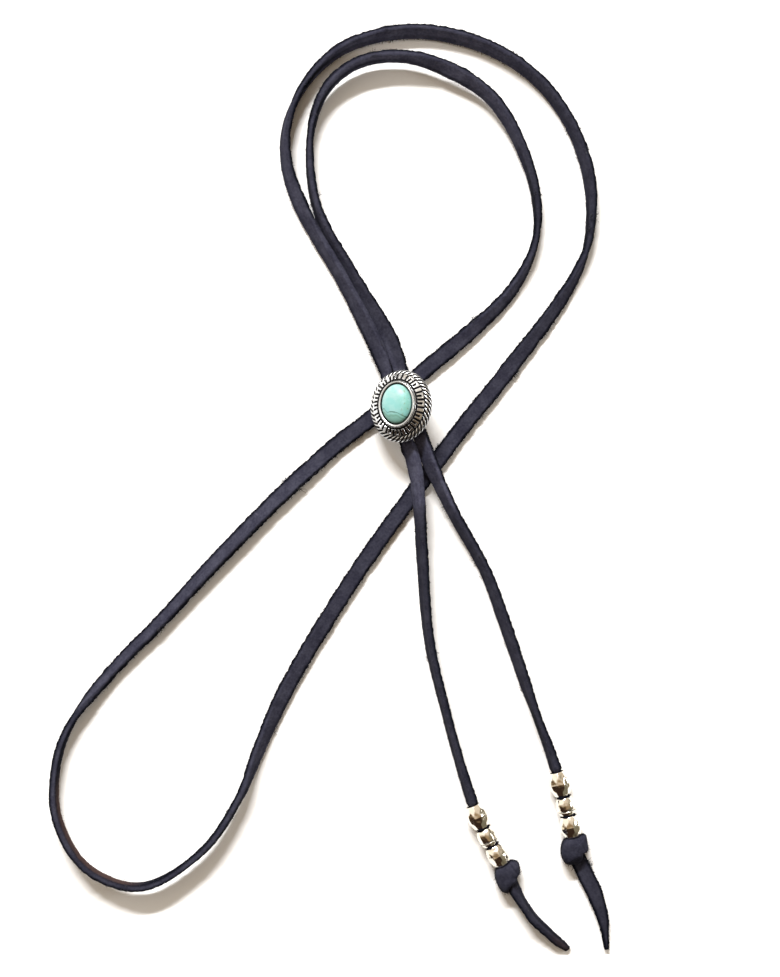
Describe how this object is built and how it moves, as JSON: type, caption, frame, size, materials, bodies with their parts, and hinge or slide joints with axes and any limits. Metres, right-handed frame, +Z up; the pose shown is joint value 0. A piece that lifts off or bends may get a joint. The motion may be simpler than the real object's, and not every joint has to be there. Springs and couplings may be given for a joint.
{
  "type": "choker",
  "caption": "Bolo-style wrap choker: flat dark suede lace looped through an oval silver slide with a domed turquoise stone, its tails beaded and knotted.",
  "frame": {"origin": "middle of the bounding box in plan, at the level of the surface the choker lies on", "axes": "+Y from the tips of the tails to the far end of the loops, +X to the right seen from above, +Z up from the surface"},
  "size_m": [0.1645, 0.2725, 0.0142],
  "materials": {
    "lace_suede": "matt napped suede, near black with a grey-purple cast",
    "slide_silver": "cast silver-coloured metal, polished high spots and blackened recesses",
    "bead_metal": "polished, pale champagne silver",
    "stone_turquoise": "polished pale turquoise with darker veins"
  },
  "bodies": {
    "root": {"lace": "lace_suede", "slide": "slide_silver", "stone": "stone_turquoise", "bead_left_upper": "bead_metal", "bead_left_middle": "bead_metal", "bead_left_lower": "bead_metal", "bead_right_upper": "bead_metal", "bead_right_middle": "bead_metal", "bead_right_lower": "bead_metal"}
  },
  "joints": []
}
